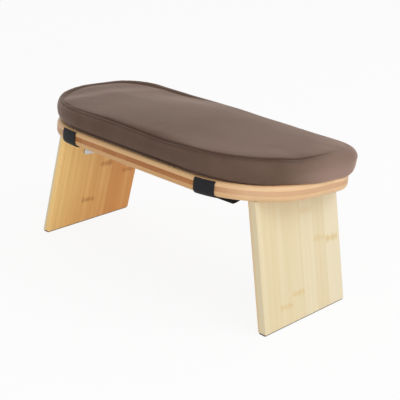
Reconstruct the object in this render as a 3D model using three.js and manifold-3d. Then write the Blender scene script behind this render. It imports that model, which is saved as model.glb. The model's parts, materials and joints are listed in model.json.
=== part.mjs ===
// Folding meditation bench: a cushioned bamboo seat on two splayed legs that fold flat under it.
// Millimetres, +Z up. X runs along the seat and Y across it, from the curved edge to the straight one.
// The origin is on the floor, under the middle of the bench.
import * as THREE from "three";
import { mergeVertices } from "three/addons/utils/BufferGeometryUtils.js";
import Module from "manifold-3d";

const wasm = await Module();
wasm.setup();

// Seat board, a three-ply bamboo panel with one straight and one curved long edge
const seatLength = 433;
const seatDepth = 196;
const seatThickness = 20;
const frontCornerRadius = 106.5;
const backCornerRadius = 43.5;
const frontBowRadius = 6000;
const shortestEnd = 4;
const seatEdgeRound = 6;
const seatTilt = THREE.MathUtils.degToRad(5.2);
const seatUndersideHeight = 152.7;
const seatCentreY = -5.7;

// Legs, two bamboo panels hinged square to the seat and cut level with the floor
const legWidth = 144;
const legThickness = 13;
const legSplay = THREE.MathUtils.degToRad(12.5);
const legEndInset = 30;
const legCentreY = 12.5;
const legEdgeRound = 2;
const legCornerRadius = 3;

// Foot strips glued under the legs
const footThickness = 1.5;
const footInset = 0.8;
const footEndInset = 4;

// Butt hinges, one in the inner corner between each leg and the seat
const hingeLength = 70;
const leafReach = 38;
const leafThickness = 1.8;
const leafCornerRadius = 4;
const pinRadius = 1.5;
const pinDome = 0.6;
const knuckleCount = 5;
const knuckleGap = 0.4;

// Countersunk screws, three to a leaf
const screwLength = 12;
const screwShankRadius = 1.75;
const screwHeadRadius = 3.5;
const screwHeadHeight = 1.6;
const screwPointLength = 3;
const screwEdgeMargin = 8;
const screwRowGap = 11;

// Cushion: a sewn cover of a crowned top and a side band, a base panel, and a foam core
const cushionFrontRadiusOver = 15.5;
const cushionBackRadiusUnder = 2.5;
const cushionShiftX = -1.75;
const cushionShiftY = 2.5;
const cushionSeamHeight = 29;
const cushionSeamInset = 3.5;
const bandBulge = 13;
const bandFullnessShare = 0.35;
const bandDrawIn = 1.2;
const seamGroove = 1.2;
const crownEdgeRise = 2;
const crownEdgeWidth = 12;
const crownRise = 1.8;
const crownShares = [0.54, 0.25];
const coverThickness = 1.5;
const baseThickness = 1.2;

// Straps: a loop tape from the front edge and a hook tape from the back edge of the cushion meet
// under the seat, where the right hook tape's loose end hangs down
const strapWidth = 28;
const strapThickness = 1.5;
const strapTuck = THREE.MathUtils.degToRad(45);
const leftStrapEndInset = 97;
const rightStrapEndInset = 81.8;
const loopTapeEndGap = 4;
const hookTapeOverlap = 31;
const hookTapeRamp = 14;
const tailReach = 27.5;
const leftTailDrop = 0;
const rightTailDrop = 10;

// Clearances and steps of the curves
const fitGap = 0.3;
const overrun = 500;
const boardArcSteps = 8;
const cushionArcSteps = 5;
const bandSteps = 4;
const backEdgeSteps = 6;
const edgeSteps = 4;
const roundSteps = 24;
const screwSteps = 16;
const strapSteps = 4;
const bendSteps = 5;
const tailSteps = 5;

const halfLength = seatLength / 2;
const halfDepth = seatDepth / 2;
const knuckleRadius = pinRadius + fitGap + leafThickness;
const pinDepth = knuckleRadius + fitGap;
const hingeFrontY = legCentreY - hingeLength / 2;
const hingeBackY = legCentreY + hingeLength / 2;

const cushionRadii = [
  frontCornerRadius + cushionFrontRadiusOver,
  backCornerRadius - cushionBackRadiusUnder,
];

// Materials
const bamboo = { color: 0xd9a871, roughness: 0.5, metalness: 0 };
const paleBamboo = { color: 0xe3cb9c, roughness: 0.5, metalness: 0 };
const brownFabric = { color: 0x7e6a61, roughness: 0.85, metalness: 0 };
const creamFoam = { color: 0xe8dfc8, roughness: 0.95, metalness: 0 };
const blackTape = { color: 0x26262a, roughness: 0.9, metalness: 0 };
const zincSteel = { color: 0xb4b6b8, roughness: 0.35, metalness: 1 };
const blackRubber = { color: 0x2b2b2b, roughness: 0.9, metalness: 0 };

function named(name, geometry, finish) {
  const mesh = new THREE.Mesh(geometry, new THREE.MeshStandardMaterial(finish));
  mesh.name = name;
  return mesh;
}

// Solids to cut and join, and back to a geometry
function solidOf(geometry) {
  const bare = new THREE.BufferGeometry();
  bare.setAttribute("position", geometry.getAttribute("position").clone());
  bare.setIndex(geometry.getIndex());
  const welded = mergeVertices(bare);
  const vertProperties = Float32Array.from(welded.getAttribute("position").array);
  const triVerts = Uint32Array.from(welded.getIndex().array);
  return new wasm.Manifold(new wasm.Mesh({ numProp: 3, vertProperties, triVerts }));
}

function geometryOf(solid) {
  const mesh = solid.getMesh();
  const geometry = new THREE.BufferGeometry();
  geometry.setAttribute("position", new THREE.BufferAttribute(Float32Array.from(mesh.vertProperties), 3));
  geometry.setIndex(new THREE.BufferAttribute(Uint32Array.from(mesh.triVerts), 1));
  return geometry;
}

// A geometry of one frame, in the coordinates of another
function carry(geometry, from, to) {
  return geometry.applyMatrix4(to.matrixWorld.clone().invert().multiply(from.matrixWorld));
}

// The D-shaped plan of the seat: a straight back edge, and a front that bows between large corners
function seatPlan(grow, wantedFrontRadius = frontCornerRadius, backRadius = backCornerRadius) {
  const frontRadius = Math.min(wantedFrontRadius, seatDepth - backRadius - shortestEnd);
  const backX = halfLength - backRadius;
  const backY = halfDepth - backRadius;
  const bowY = frontBowRadius - halfDepth;
  const frontX = halfLength - frontRadius;
  const frontY = bowY - Math.sqrt((frontBowRadius - frontRadius) ** 2 - frontX ** 2);
  const bowAngle = Math.asin(frontX / (frontBowRadius - frontRadius));
  const quarter = Math.PI / 2;
  const plan = new THREE.Shape();
  plan.moveTo(halfLength + grow, frontY);
  plan.absarc(backX, backY, backRadius + grow, 0, quarter);
  for (let i = 1; i < backEdgeSteps; i++) {
    plan.lineTo(backX * (1 - (2 * i) / backEdgeSteps), halfDepth + grow);
  }
  plan.absarc(-backX, backY, backRadius + grow, quarter, 2 * quarter);
  plan.absarc(-frontX, frontY, frontRadius + grow, 2 * quarter, 3 * quarter - bowAngle);
  plan.absarc(0, bowY, frontBowRadius + grow, 3 * quarter - bowAngle, 3 * quarter + bowAngle);
  plan.absarc(frontX, frontY, frontRadius + grow, -quarter + bowAngle, 0);
  return plan;
}

// Where the plan's front or back edge lies at a place along the seat
function planEdgeY(x, grow, side) {
  const radius = side < 0 ? frontCornerRadius : backCornerRadius;
  const cornerX = halfLength - radius;
  if (side > 0) {
    const past = Math.max(Math.abs(x) - cornerX, 0);
    return halfDepth - radius + Math.sqrt((radius + grow) ** 2 - past ** 2);
  }
  const bowY = frontBowRadius - halfDepth;
  if (Math.abs(x) < cornerX) return bowY - Math.sqrt((frontBowRadius + grow) ** 2 - x ** 2);
  const cornerY = bowY - Math.sqrt((frontBowRadius - radius) ** 2 - cornerX ** 2);
  return cornerY - Math.sqrt((radius + grow) ** 2 - (Math.abs(x) - cornerX) ** 2);
}

// A closed polygon whose corners are rounded, as a shape
function roundedShape(corners, radii) {
  const shape = new THREE.Shape();
  corners.forEach((corner, i) => {
    const before = corners.at(i - 1).clone().sub(corner).normalize();
    const after = corners[(i + 1) % corners.length].clone().sub(corner).normalize();
    const half = Math.acos(before.dot(after)) / 2;
    const start = corner.clone().addScaledVector(before, radii[i] / Math.tan(half));
    const end = corner.clone().addScaledVector(after, radii[i] / Math.tan(half));
    if (i === 0) shape.moveTo(start.x, start.y);
    else shape.lineTo(start.x, start.y);
    if (radii[i] > 0) {
      const middle = before.clone().add(after).normalize();
      const centre = corner.clone().addScaledVector(middle, radii[i] / Math.sin(half));
      const from = start.clone().sub(centre).angle();
      const to = end.clone().sub(centre).angle();
      shape.absarc(centre.x, centre.y, radii[i], from, to, false);
    }
  });
  shape.closePath();
  return shape;
}

// A skin over rings that have the same number of points, open at both ends
function skin(rings) {
  const count = rings[0].length;
  const triangles = [];
  for (let k = 0; k + 1 < rings.length; k++) {
    for (let i = 0; i < count; i++) {
      const a = k * count + i;
      const b = k * count + ((i + 1) % count);
      triangles.push(a, b, b + count, a, b + count, a + count);
    }
  }
  return { points: rings.flat(), triangles, count, last: (rings.length - 1) * count };
}

function closed({ points, triangles }) {
  const geometry = new THREE.BufferGeometry().setFromPoints(points);
  return geometry.setIndex(triangles);
}

// A skin over round rings, each end closed by a fan about its middle
function loft(rings) {
  const body = skin(rings);
  const { points, triangles, count, last } = body;
  for (const [first, turned] of [[0, true], [last, false]]) {
    const middle = new THREE.Vector3();
    for (let i = 0; i < count; i++) middle.addScaledVector(points[first + i], 1 / count);
    const hub = points.push(middle) - 1;
    for (let i = 0; i < count; i++) {
      const a = first + i;
      const b = first + ((i + 1) % count);
      triangles.push(...(turned ? [b, a, hub] : [a, b, hub]));
    }
  }
  return closed(body);
}

// A skin over long thin rings, each end closed by rungs between the ring's two sides
function ladderLoft(rings) {
  const body = skin(rings);
  const { triangles, count, last } = body;
  for (let i = 0; i + 1 < count / 2; i++) {
    const [a, b, c, d] = [i, i + 1, count - 2 - i, count - 1 - i];
    triangles.push(a, c, b, a, d, c);
    triangles.push(last + a, last + b, last + c, last + a, last + c, last + d);
  }
  return closed(body);
}

// Points moved sideways from a line by a distance, to its left
function offsetLine(line, distance) {
  return line.map((point, i) => {
    const before = line[Math.max(i - 1, 0)];
    const after = line[Math.min(i + 1, line.length - 1)];
    const along = after.clone().sub(before).normalize();
    return new THREE.Vector2(point.x - along.y * distance, point.y + along.x * distance);
  });
}

// Frames of the bench: the tilted seat, and on each side the hinge axis and the splayed leg
const bench = new THREE.Group();
const seat = new THREE.Group();
seat.position.set(0, seatCentreY, seatUndersideHeight);
seat.rotation.x = -seatTilt;
bench.add(seat);

const innerFaceAtSeat = halfLength - legEndInset - legThickness / Math.cos(legSplay);
const pinX = innerFaceAtSeat - (pinDepth * (1 - Math.sin(legSplay))) / Math.cos(legSplay);

function sideFrames(side) {
  const hinge = new THREE.Group();
  hinge.position.set(side * pinX, legCentreY, -pinDepth);
  seat.add(hinge);
  const leg = new THREE.Group();
  leg.rotation.y = -side * legSplay;
  hinge.add(leg);
  bench.updateMatrixWorld(true);
  return { side, hinge, leg };
}

// Hinge leaves, drawn with the pin along Y, the plate towards +X and its screwed face up
const screwPlaces = [
  new THREE.Vector2(leafReach - screwEdgeMargin, screwEdgeMargin - hingeLength / 2),
  new THREE.Vector2(leafReach - screwEdgeMargin, hingeLength / 2 - screwEdgeMargin),
  new THREE.Vector2(leafReach - screwEdgeMargin - screwRowGap, 0),
];

function rod(radius, from, to) {
  const cylinder = new THREE.CylinderGeometry(radius, radius, to - from, roundSteps);
  return solidOf(cylinder.translate(0, (from + to) / 2, 0));
}

function screwProfile(grow) {
  const head = screwHeadRadius + grow;
  const neck = screwShankRadius + grow;
  return [
    new THREE.Vector2(head, 0),
    new THREE.Vector2(neck, screwHeadHeight),
    new THREE.Vector2(neck, screwLength - screwPointLength + grow),
    new THREE.Vector2(0, screwLength + grow),
  ];
}

// A turned shape on a leaf, from its open face up into the wood
function turnedOnLeaf(profile, place) {
  const shape = new THREE.LatheGeometry(profile, screwSteps).rotateX(Math.PI / 2);
  return shape.translate(place.x, place.y, knuckleRadius - leafThickness);
}

function screwGeometry(place) {
  return turnedOnLeaf([new THREE.Vector2(0, 0), ...screwProfile(0)], place);
}

function screwHoles() {
  const mouth = [
    new THREE.Vector2(0, -leafThickness),
    new THREE.Vector2(screwHeadRadius + fitGap, -leafThickness),
  ];
  const profile = [...mouth, ...screwProfile(fitGap)];
  return screwPlaces
    .map((place) => solidOf(turnedOnLeaf(profile, place)))
    .reduce((all, hole) => all.add(hole));
}

function leafGeometry(ownKnuckles) {
  const halfHinge = hingeLength / 2;
  const corners = [
    new THREE.Vector2(0, -halfHinge),
    new THREE.Vector2(leafReach, -halfHinge),
    new THREE.Vector2(leafReach, halfHinge),
    new THREE.Vector2(0, halfHinge),
  ];
  const outline = roundedShape(corners, [0, leafCornerRadius, leafCornerRadius, 0]);
  const plate = new THREE.ExtrudeGeometry(outline, {
    depth: leafThickness,
    bevelEnabled: false,
    curveSegments: edgeSteps,
  });
  plate.translate(0, 0, knuckleRadius - leafThickness);
  let leaf = solidOf(plate);
  const pitch = (hingeLength + knuckleGap) / knuckleCount;
  for (let k = 0; k < knuckleCount; k++) {
    const from = k * pitch - halfHinge;
    const to = from + pitch - knuckleGap;
    if (ownKnuckles(k)) leaf = leaf.add(rod(knuckleRadius, from, to));
    else leaf = leaf.subtract(rod(knuckleRadius + knuckleGap, from - knuckleGap, to + knuckleGap));
  }
  leaf = leaf.subtract(rod(pinRadius + fitGap, -hingeLength, hingeLength));
  return geometryOf(leaf.subtract(screwHoles()));
}

const outerKnuckles = (k) => k % 2 === 0;
const innerKnuckles = (k) => k % 2 === 1;

function pinGeometry() {
  const half = hingeLength / 2;
  const profile = [
    new THREE.Vector2(0, -half),
    new THREE.Vector2(pinRadius - pinDome, -half),
    new THREE.Vector2(pinRadius, pinDome - half),
    new THREE.Vector2(pinRadius, half - pinDome),
    new THREE.Vector2(pinRadius - pinDome, half),
    new THREE.Vector2(0, half),
  ];
  return new THREE.LatheGeometry(profile, screwSteps);
}

// A leaf's own frame under a parent, with the plate towards one direction and the wood towards another
function leafFrame(parent, plateDirection, woodDirection) {
  const frame = new THREE.Group();
  const across = woodDirection.clone().cross(plateDirection);
  const turn = new THREE.Matrix4().makeBasis(plateDirection, across, woodDirection);
  frame.quaternion.setFromRotationMatrix(turn);
  parent.add(frame);
  bench.updateMatrixWorld(true);
  return frame;
}

// The screw holes of a leaf, in the coordinates of the wood they go into
function pilotHoles(leaf, wood) {
  return solidOf(carry(geometryOf(screwHoles()), leaf, wood));
}

function addHinge(name, { side, hinge, leg }) {
  const up = new THREE.Vector3(0, 0, 1);
  const down = new THREE.Vector3(0, 0, -1);
  const inward = new THREE.Vector3(-side, 0, 0);
  const outward = new THREE.Vector3(side, 0, 0);
  const seatLeaf = leafFrame(hinge, inward, up);
  const legLeaf = leafFrame(leg, down, outward);
  seatLeaf.add(named(`${name}_hinge_seat_leaf`, leafGeometry(outerKnuckles), zincSteel));
  legLeaf.add(named(`${name}_hinge_leg_leaf`, leafGeometry(innerKnuckles), zincSteel));
  hinge.add(named(`${name}_hinge_pin`, pinGeometry(), zincSteel));
  screwPlaces.forEach((place, i) => {
    const number = i + 1;
    seatLeaf.add(named(`${name}_seat_screw_${number}`, screwGeometry(place), zincSteel));
    legLeaf.add(named(`${name}_leg_screw_${number}`, screwGeometry(place), zincSteel));
  });
  return { seatLeaf, legLeaf };
}

// The leg as a board in its own frame, its inner face one pin depth outside the pin
function legBoard(side, faceInset, edgeInset, round) {
  const inner = pinDepth + faceInset;
  const outer = pinDepth + legThickness - faceInset;
  const half = legWidth / 2 - edgeInset;
  const [from, to] = side > 0 ? [inner, outer] : [-outer, -inner];
  const corners = [
    new THREE.Vector2(from, -half),
    new THREE.Vector2(to, -half),
    new THREE.Vector2(to, half),
    new THREE.Vector2(from, half),
  ];
  const section = roundedShape(corners, [round, round, round, round]);
  const board = new THREE.ExtrudeGeometry(section, {
    depth: overrun,
    bevelEnabled: false,
    curveSegments: edgeSteps,
  });
  return solidOf(board.translate(0, 0, -overrun / 2));
}

// A block right through the leg whose outline is drawn from the side, in the hinge's frame
function sideBlock(corners, radii, { hinge, leg }) {
  const outline = roundedShape(corners, radii);
  const block = new THREE.ExtrudeGeometry(outline, {
    depth: overrun,
    bevelEnabled: false,
    curveSegments: edgeSteps,
  });
  const alongX = new THREE.Vector3(1, 0, 0);
  const alongY = new THREE.Vector3(0, 1, 0);
  const alongZ = new THREE.Vector3(0, 0, 1);
  block.translate(0, 0, -overrun / 2);
  block.applyMatrix4(new THREE.Matrix4().makeBasis(alongY, alongZ, alongX));
  return solidOf(carry(block, hinge, leg));
}

// A point seen from the side, over a place along the hinge at a height over the floor
function overFloor(hinge, y, height) {
  const rise = hinge.matrixWorld.elements;
  return new THREE.Vector2(y, (height - rise[6] * y - rise[14]) / rise[10]);
}

function addLeg(name, frames, legLeaf) {
  const { side, hinge, leg } = frames;
  const half = legWidth / 2;
  const top = pinDepth - fitGap;
  const sole = footThickness + fitGap;
  const legCorners = [
    new THREE.Vector2(-half, top),
    overFloor(hinge, -half, sole),
    overFloor(hinge, half, sole),
    new THREE.Vector2(half, top),
  ];
  const legOutline = sideBlock(legCorners, [0, legCornerRadius, legCornerRadius, 0], frames);
  const panel = legBoard(side, 0, 0, legEdgeRound)
    .intersect(legOutline)
    .subtract(pilotHoles(legLeaf, leg));
  leg.add(named(`${name}_leg`, geometryOf(panel), paleBamboo));
  const footHalf = half - footEndInset;
  const footCorners = [
    overFloor(hinge, -footHalf, footThickness),
    overFloor(hinge, -footHalf, 0),
    overFloor(hinge, footHalf, 0),
    overFloor(hinge, footHalf, footThickness),
  ];
  const footOutline = sideBlock(footCorners, [0, 0, 0, 0], frames);
  const strip = legBoard(side, footInset, 0, 0).intersect(footOutline);
  leg.add(named(`${name}_foot_strip`, geometryOf(strip), blackRubber));
}

// Seat board with rounded edges and the hinges' pilot holes
function addBoard(seatLeaves) {
  const slab = new THREE.ExtrudeGeometry(seatPlan(0), {
    depth: seatThickness - 2 * seatEdgeRound,
    bevelThickness: seatEdgeRound,
    bevelSize: seatEdgeRound,
    bevelOffset: -seatEdgeRound,
    bevelSegments: edgeSteps,
    curveSegments: boardArcSteps,
  });
  let board = solidOf(slab.translate(0, 0, seatEdgeRound));
  for (const leaf of seatLeaves) board = board.subtract(pilotHoles(leaf, seat));
  seat.add(named("seat_board", geometryOf(board), bamboo));
}

// Cushion rings: the seat's plan at an offset and height, drawn in along the straight sides
function cushionRing({ grow, z, share, draw }) {
  const plan = seatPlan(grow, ...cushionRadii);
  const points = plan.getPoints(cushionArcSteps).slice(0, -1);
  return points.map((point) => {
    const pull = draw * bandDrawIn * (1 - Math.min(Math.abs(point.x) / halfLength, 1) ** 2);
    const y = point.y - Math.sign(point.y) * pull;
    return new THREE.Vector3(point.x * share, y * share, z);
  });
}

// The cover's section from its bottom edge up the swelling band to the seam
function bandSection() {
  const band = [];
  for (let i = 0; i <= bandSteps; i++) {
    const turn = (Math.PI * i) / bandSteps;
    const swell = Math.max(Math.sin(turn), 0) ** bandFullnessShare;
    const z = (cushionSeamHeight * (1 - Math.cos(turn))) / 2;
    band.push({ grow: bandBulge * swell - cushionSeamInset, z, share: 1, draw: swell });
  }
  return band;
}

// The section from the seam over the crowned top, its middle rows shares of the edge row
function crownSection() {
  const edge = -cushionSeamInset - crownEdgeWidth;
  const edgeZ = cushionSeamHeight + crownEdgeRise;
  const rows = [
    { grow: -cushionSeamInset, z: cushionSeamHeight + seamGroove, share: 1, draw: 0 },
    { grow: edge, z: edgeZ, share: 1, draw: 0 },
  ];
  for (const share of crownShares) {
    rows.push({ grow: edge, z: edgeZ + crownRise * (1 - share ** 2), share, draw: 0 });
  }
  return rows;
}

function inset(rows, distance) {
  const line = rows.map(({ grow, z }) => new THREE.Vector2(grow, z));
  const moved = offsetLine(line, distance);
  return rows.map((row, i) => {
    if (row.share < 1) return { ...row, z: row.z - distance };
    return { ...row, grow: moved[i].x, z: moved[i].y };
  });
}

// A cover open below: the outside skin less its lining, which starts under the base panel
function coverGeometry(outerRows, liningRows) {
  const outer = solidOf(loft(outerRows.map(cushionRing)));
  const lining = solidOf(loft(liningRows.map(cushionRing)));
  return geometryOf(outer.subtract(lining));
}

function addCushion() {
  const cushion = new THREE.Group();
  cushion.position.set(cushionShiftX, cushionShiftY, seatThickness + fitGap);
  seat.add(cushion);
  const band = bandSection();
  const crown = crownSection();
  const [hem] = band;
  const seam = band.at(-1);
  const groove = { ...seam, grow: seam.grow - seamGroove, z: seam.z + seamGroove / 2 };
  const plain = [...band.slice(0, -1), ...crown];
  const mouth = { ...hem, grow: hem.grow - coverThickness, z: -fitGap };
  const lining = [mouth, ...inset(plain, coverThickness).slice(1)];
  const cover = coverGeometry([...band, groove, ...crown], lining);
  cushion.add(named("cushion_cover", cover, brownFabric));
  const core = inset(plain, coverThickness + fitGap).map(cushionRing);
  cushion.add(named("cushion_foam", loft(core), creamFoam));
  const basePlan = seatPlan(mouth.grow - fitGap, ...cushionRadii);
  const base = new THREE.ExtrudeGeometry(basePlan, {
    depth: baseThickness,
    bevelEnabled: false,
    curveSegments: cushionArcSteps,
  });
  cushion.add(named("cushion_base", base, brownFabric));
}

// Straps: ribbons whose lines at each place across the width follow the board's edge
function ribbon(lines, thickness) {
  const rings = lines.map(({ x, line }) => {
    const upper = offsetLine(line, thickness / 2).toReversed();
    const lower = offsetLine(line, -thickness / 2);
    return [...lower, ...upper].map((point) => new THREE.Vector3(x, point.x, point.y));
  });
  return ladderLoft(rings);
}

// Round the board's edge from under the cushion to the underside, at one place along the seat
function edgeWrap(x, side) {
  const radius = seatEdgeRound + fitGap + strapThickness / 2;
  const line = [];
  const bend = (from, to, centreZ) => {
    for (let i = 0; i <= bendSteps; i++) {
      const angle = from + ((to - from) * i) / bendSteps;
      const y = planEdgeY(x, radius * Math.sin(angle) - seatEdgeRound, side);
      line.push(new THREE.Vector2(y, centreZ + radius * Math.cos(angle)));
    }
  };
  bend(strapTuck, Math.PI / 2, seatThickness - seatEdgeRound);
  bend(Math.PI / 2, Math.PI, seatEdgeRound);
  return line;
}

const tapeZ = -fitGap - strapThickness / 2;
const lowTapeZ = tapeZ - Math.max(leafThickness, strapThickness) - fitGap;
const loopTapeEndY = hingeFrontY - loopTapeEndGap;

function loopTapeLine(x) {
  return [...edgeWrap(x, -1), new THREE.Vector2(loopTapeEndY, tapeZ)];
}

// The hook tape passes under the hinge leaf, lies on the loop tape and ends in its tail
function hookTapeLine(x, tailDrop) {
  const rampEnd = hingeBackY + loopTapeEndGap;
  const tailRoot = loopTapeEndY - hookTapeOverlap + tailReach;
  const line = edgeWrap(x, 1);
  line.push(new THREE.Vector2(rampEnd + hookTapeRamp, tapeZ));
  line.push(new THREE.Vector2(rampEnd, lowTapeZ));
  for (let i = 0; i <= tailSteps; i++) {
    const share = i / tailSteps;
    const drop = tailDrop * Math.sin((share * Math.PI) / 2);
    line.push(new THREE.Vector2(tailRoot - tailReach * share, lowTapeZ - drop));
  }
  return line;
}

function addStraps(name, centreX, tailDrop) {
  const places = [];
  for (let i = 0; i <= strapSteps; i++) places.push(centreX + strapWidth * (i / strapSteps - 1 / 2));
  const loops = places.map((x) => ({ x, line: loopTapeLine(x) }));
  const hooks = places.map((x) => ({ x, line: hookTapeLine(x, tailDrop).toReversed() }));
  seat.add(named(`${name}_loop_strap`, ribbon(loops, strapThickness), blackTape));
  seat.add(named(`${name}_hook_strap`, ribbon(hooks, strapThickness), blackTape));
}

const seatLeaves = [];
for (const [name, side] of [["left", -1], ["right", 1]]) {
  const frames = sideFrames(side);
  const { seatLeaf, legLeaf } = addHinge(name, frames);
  addLeg(name, frames, legLeaf);
  seatLeaves.push(seatLeaf);
}
addBoard(seatLeaves);
addCushion();
addStraps("left", leftStrapEndInset - halfLength, leftTailDrop);
addStraps("right", halfLength - rightStrapEndInset, rightTailDrop);

export default bench;
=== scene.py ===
"""Folding meditation bench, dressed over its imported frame.

A D-shaped three-ply bamboo seat carries a strapped cushion and stands on two splayed bamboo legs, each
on a butt hinge. Blender works in metres. Sizes below are in millimetres, most of them in the seat's own
frame: X along the seat, Y from its curved edge to its straight one, Z up from the board's underside.
"""
import json
import logging
import math
from dataclasses import dataclass, field, replace
from enum import Enum
from typing import Iterable, Mapping, Optional, Sequence

import bmesh
import bpy
import numpy as np
from mathutils import Matrix, Vector


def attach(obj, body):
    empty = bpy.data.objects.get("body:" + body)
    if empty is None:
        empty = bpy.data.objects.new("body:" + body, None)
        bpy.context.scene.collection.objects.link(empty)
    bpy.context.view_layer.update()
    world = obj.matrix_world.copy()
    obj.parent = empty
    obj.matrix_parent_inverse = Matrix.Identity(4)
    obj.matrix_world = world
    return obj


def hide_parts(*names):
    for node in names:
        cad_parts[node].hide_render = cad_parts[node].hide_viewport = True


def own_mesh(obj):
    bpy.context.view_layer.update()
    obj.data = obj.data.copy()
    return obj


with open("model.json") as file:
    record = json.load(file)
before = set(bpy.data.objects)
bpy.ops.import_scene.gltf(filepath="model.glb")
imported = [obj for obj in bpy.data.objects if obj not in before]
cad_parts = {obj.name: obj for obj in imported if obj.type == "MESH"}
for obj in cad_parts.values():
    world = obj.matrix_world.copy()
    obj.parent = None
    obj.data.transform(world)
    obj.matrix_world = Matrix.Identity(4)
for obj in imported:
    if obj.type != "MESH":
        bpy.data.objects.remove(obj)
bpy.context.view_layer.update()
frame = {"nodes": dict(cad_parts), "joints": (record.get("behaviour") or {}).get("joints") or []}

MM = 0.001
# Two arcs whose ends are closer than this share a vertex, and what is this near to a plane lies in it.
JOIN_GAP = 0.1
FLAT = 0.001
# Edges that turn more than this stay sharp.
SHARP_TURN = math.radians(40)
log = logging.getLogger("bench")


class Side(Enum):
    """The two ends of the bench, with the sign of their X."""

    LEFT = -1
    RIGHT = 1

    @property
    def word(self) -> str:
        """The side's name as it stands in node names."""
        return self.name.lower()


class Edge(Enum):
    """The seat's long edges, with the sign of their Y."""

    FRONT = -1
    BACK = 1


# Small helpers


def linear(code: str) -> tuple[float, float, float, float]:
    """Turns an sRGB hex colour to linear light.

    Args:
        code: the colour as "#rrggbb".

    Returns:
        Red, green, blue and an alpha of 1.
    """
    shares = [int(code[i : i + 2], 16) / 255 for i in (1, 3, 5)]
    light = [s / 12.92 if s <= 0.04045 else ((s + 0.055) / 1.055) ** 2.4 for s in shares]
    return (*light, 1.0)


def add_node(
    tree: bpy.types.NodeTree,
    kind: str,
    *sources: object,
    sockets: Optional[dict[object, object]] = None,
    stops: Sequence[tuple[float, str]] = (),
    **settings: object,
) -> bpy.types.Node:
    """Adds a shader node, sets it and links it.

    Args:
        tree: the material's or world's node tree.
        kind: the node's type, without "ShaderNode".
        sources: values or output sockets for its inputs in order. None leaves an input alone.
        sockets: values or output sockets for its inputs by name or number.
        stops: a colour ramp's places from 0 to 1 and their sRGB hex colours.
        settings: attributes to set on the node.

    Returns:
        The new node.
    """
    node = tree.nodes.new(f"ShaderNode{kind}")
    for name, value in settings.items():
        setattr(node, name, value)
    for name, value in {**dict(enumerate(sources)), **(sockets or {})}.items():
        if isinstance(value, bpy.types.NodeSocket):
            tree.links.new(value, node.inputs[name])
        elif value is not None:
            node.inputs[name].default_value = value
    for number, (place, code) in enumerate(stops):
        ends = node.color_ramp.elements
        stop = ends[number] if number < len(ends) else ends.new(place)
        stop.position = place
        stop.color = linear(code)
    return node


def smoothstep(low: float, high: float, value: float) -> float:
    """Eases from 0 at low to 1 at high."""
    share = min(max((value - low) / (high - low), 0.0), 1.0)
    return share * share * (3.0 - 2.0 * share)


def hump(middle: float, width: float, value: float) -> float:
    """A soft hump: 1 at the middle, about a third a width away from it, and then nothing."""
    return math.exp(-(((value - middle) / width) ** 2))


# Frames


@dataclass(frozen=True)
class Layout:
    """Where the seat and the legs stand, worked out from the frame's hinges."""

    pin_depth: float = 3.9
    leg_centre_y: float = 12.5
    leg_splay: float = math.radians(12.5)

    def joint(self, side: Side) -> dict[str, object]:
        """The frame's joint of that leg."""
        return next(j for j in frame["joints"] if j["name"] == f"{side.word}_leg_fold")

    @property
    def tilt(self) -> float:
        """The seat's slope down towards its straight edge."""
        axis = self.joint(Side.RIGHT)["axis"]
        return math.atan2(-axis[2], axis[1])

    @property
    def pin_x(self) -> float:
        """How far a hinge pin lies from the middle, in millimetres."""
        return self.joint(Side.RIGHT)["pos_m"][0] / MM

    def seat(self) -> Matrix:
        """The seat's frame in the row frame, in metres."""
        turn = Matrix.Rotation(-self.tilt, 4, "X")
        pin = Vector((self.pin_x, self.leg_centre_y, -self.pin_depth)) * MM
        origin = Vector(self.joint(Side.RIGHT)["pos_m"]) - turn @ pin
        return Matrix.Translation(origin) @ turn

    def hinge(self, side: Side) -> Matrix:
        """A hinge pin's frame, its axis along Y, square to the seat."""
        pin = Vector((side.value * self.pin_x, self.leg_centre_y, -self.pin_depth)) * MM
        return self.seat() @ Matrix.Translation(pin)

    def leg(self, side: Side) -> Matrix:
        """A leg's frame: the pin is its origin and -Z runs down the leg."""
        return self.hinge(side) @ Matrix.Rotation(-side.value * self.leg_splay, 4, "Y")

    def seat_leaf(self, side: Side) -> Matrix:
        """A seat leaf's frame: X out along the leaf, Z into the seat."""
        return self.hinge(side) @ axes((-side.value, 0, 0), (0, 0, 1))

    def leg_leaf(self, side: Side) -> Matrix:
        """A leg leaf's frame: X down along the leaf, Z into the leg."""
        return self.leg(side) @ axes((0, 0, -1), (side.value, 0, 0))


def axes(x_axis: Sequence[float], z_axis: Sequence[float]) -> Matrix:
    """The turn that lays X and Z along two directions square to each other."""
    along, up = Vector(x_axis), Vector(z_axis)
    return Matrix((along, up.cross(along), up)).transposed().to_4x4()


# Finishes


@dataclass(frozen=True)
class Finish:
    """A surface finish: makes its material once and hands it out."""

    name: str

    def material(self) -> bpy.types.Material:
        """The finish's material, made at the first call."""
        found = bpy.data.materials.get(self.name)
        if found:
            return found
        made = bpy.data.materials.new(self.name)
        made.use_nodes = True
        tree = made.node_tree
        tree.nodes.clear()
        shader = add_node(tree, "BsdfPrincipled")
        add_node(tree, "OutputMaterial", shader.outputs[0])
        self.paint(tree, shader)
        return made

    def paint(self, tree: bpy.types.NodeTree, shader: bpy.types.Node) -> None:
        """Sets the finish's nodes. Each kind of finish has its own."""
        raise NotImplementedError

    @staticmethod
    def settle(shader: bpy.types.Node, values: Mapping[str, object]) -> None:
        """Sets what is the same all over the surface, on the shader's own sockets."""
        for name, value in values.items():
            shader.inputs[name].default_value = value


@dataclass(frozen=True)
class NodeMark:
    """A bamboo node's brown mark across one strip, placed in the panel's own frame, in millimetres."""

    across: float
    along: float
    strength: float = 0.5
    tone: str = "#a44a04"


@dataclass(frozen=True)
class BambooTones:
    """The two colours that one face of a bamboo panel runs between."""

    light: str
    deep: str


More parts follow.
